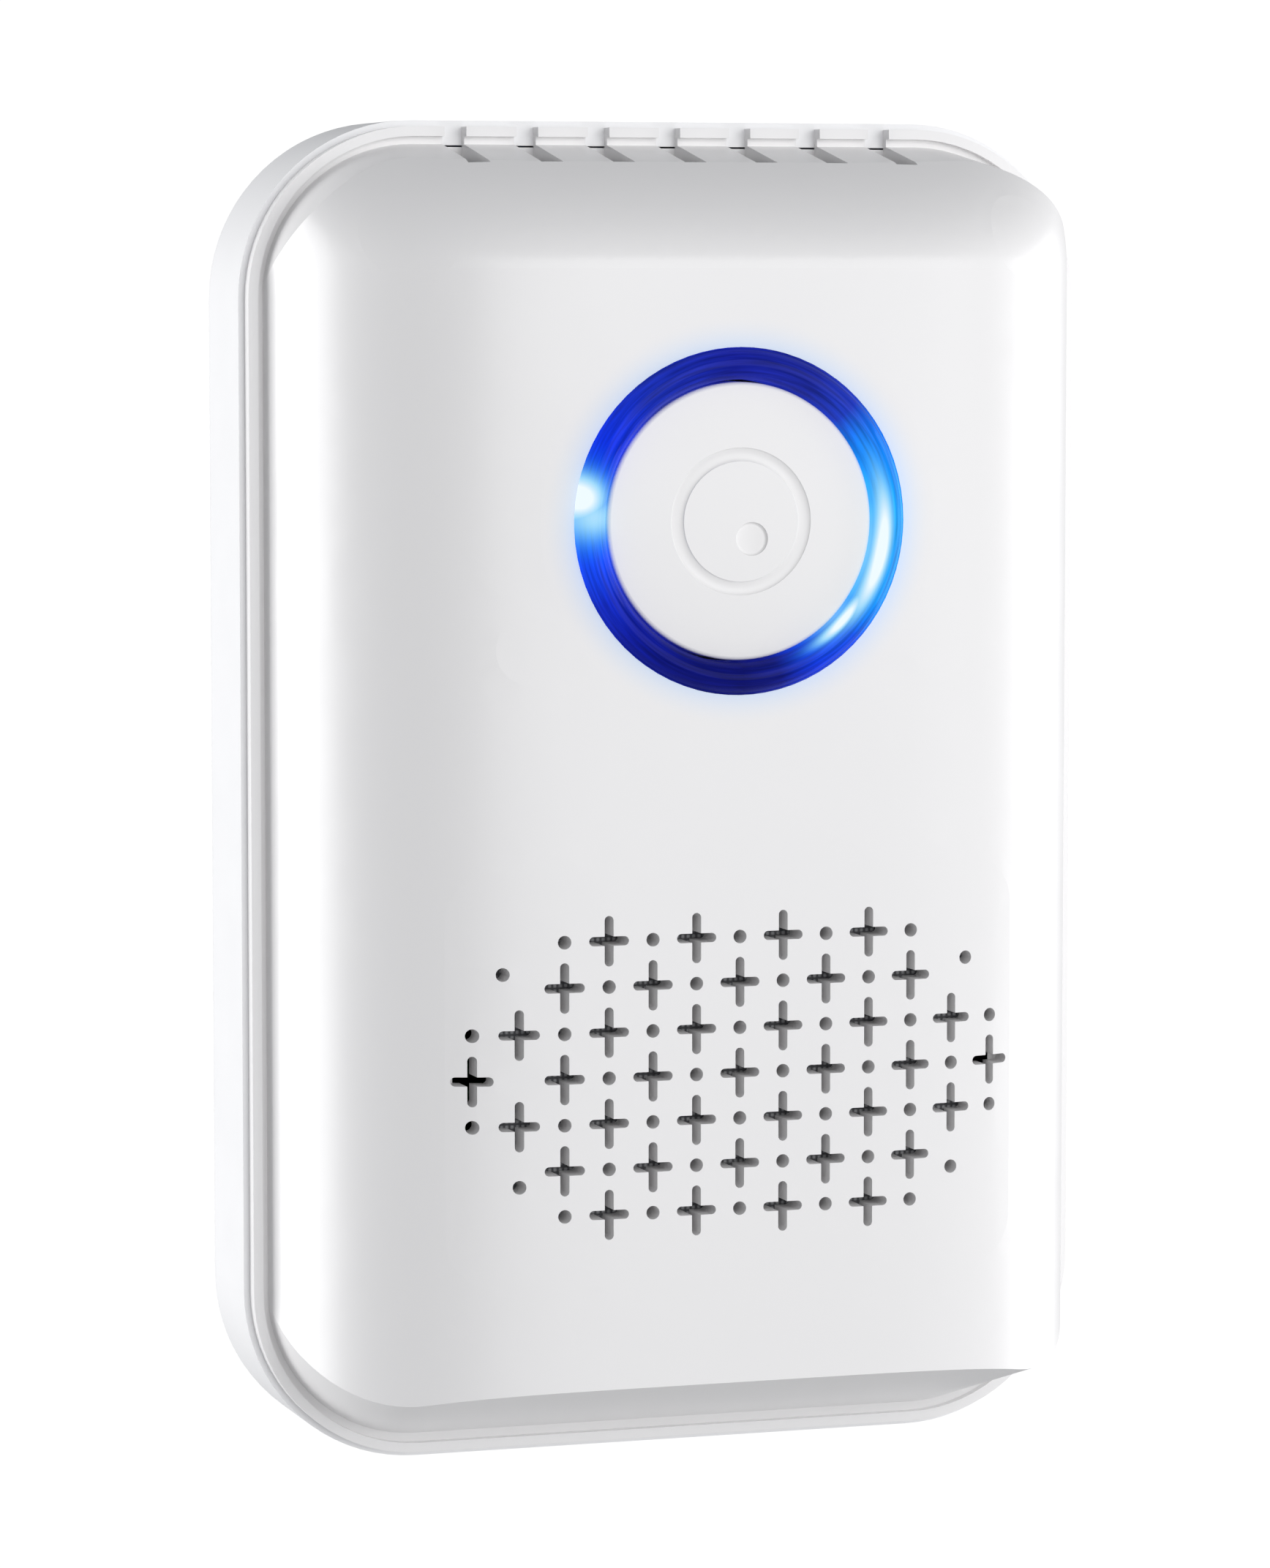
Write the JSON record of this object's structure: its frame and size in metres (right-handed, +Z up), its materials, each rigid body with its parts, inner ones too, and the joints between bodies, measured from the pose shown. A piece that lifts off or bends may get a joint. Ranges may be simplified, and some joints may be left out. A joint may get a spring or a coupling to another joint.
{
  "type": "ultrasonic pest repeller",
  "caption": "Plug-in ultrasonic pest repeller: rounded two-part white casing with a lit ring around a push button, a speaker grille of crosses and dots, top vents and a flat-blade mains plug.",
  "frame": {"origin": "middle of the flat back of the casing, halfway between the two plug blades", "axes": "+Y into the wall along the plug blades, so the front looks along -Y; +Z up along the casing's height; +X to the right of someone facing the front"},
  "size_m": [0.0724, 0.0504, 0.11],
  "materials": {
    "cover_abs": "gloss white ABS",
    "rear_abs": "satin white ABS",
    "button_abs": "gloss white ABS",
    "ring_diffuser": "translucent, lit blue from behind",
    "reflector_plastic": "moulded white",
    "circuit_board": "green solder mask on glass-epoxy",
    "led_package": "moulded LED package",
    "black_plastic": "moulded black",
    "white_plastic": "moulded natural white",
    "grille_fabric": "woven grey cloth",
    "foam": "closed-cell foam",
    "cone_fabric": "pressed paper",
    "brass": "rolled sheet",
    "plated_brass": "nickel-plated",
    "plug_plastic": "moulded satin white",
    "screw_steel": "zinc-plated",
    "solder": "bright solder",
    "capacitor_box": "moulded yellow",
    "capacitor_sleeve": "shrunk sleeve",
    "ferrite": "sintered grey",
    "copper_winding": "enamelled copper wire",
    "varistor_coat": "dipped epoxy",
    "resistor_coat": "flameproof lacquer",
    "wire_insulation": "PVC insulation"
  },
  "bodies": {
    "casing": {"blade_solder": "solder", "blue_leds": "led_package", "board_screws": "screw_steel", "board_sockets": "white_plastic", "bridge_rectifier": "black_plastic", "chip_resistors": "black_plastic", "choke_bobbin": "ferrite", "choke_winding": "copper_winding", "clip_screws": "screw_steel", "controller_chip": "black_plastic", "cover_screws": "screw_steel", "driver_transistors": "black_plastic", "electrolytic_capacitors": "capacitor_sleeve", "film_capacitor": "capacitor_box", "front_cover": "cover_abs", "fuse_resistor": "resistor_coat", "grille_cloth": "grille_fabric", "led_board": "circuit_board", "led_wires": "wire_insulation", "light_ring": "ring_diffuser", "line_blade": "plated_brass", "main_board": "circuit_board", "neutral_blade": "plated_brass", "piezo_disc": "brass", "plug_base": "plug_plastic", "plug_screws": "screw_steel", "rear_cover": "rear_abs", "ring_reflector": "reflector_plastic", "ring_screws": "screw_steel", "speaker_clips": "black_plastic", "speaker_cone": "cone_fabric", "speaker_frame": "black_plastic", "speaker_gasket": "foam", "speaker_terminals": "plated_brass", "speaker_wires": "wire_insulation", "switch_body": "black_plastic", "transformer_core": "ferrite", "transformer_winding": "copper_winding", "varistor": "varistor_coat"},
    "button": {"button_cap": "button_abs"},
    "switch_plunger": {"switch_plunger": "white_plastic"}
  },
  "joints": [
    {"name": "button_press", "type": "slide", "parent": "casing", "child": "button", "axis": [0, 1, 0], "range_m": [0, 0.0005], "stiffness_N_per_m": 1500},
    {"name": "switch_plunger_slide", "type": "slide", "parent": "casing", "child": "switch_plunger", "axis": [0, 1, 0], "range_m": [0, 0.0005]}
  ],
  "couplings": [
    {"joint": "switch_plunger_slide", "follows": "button_press", "ratio": 1}
  ]
}
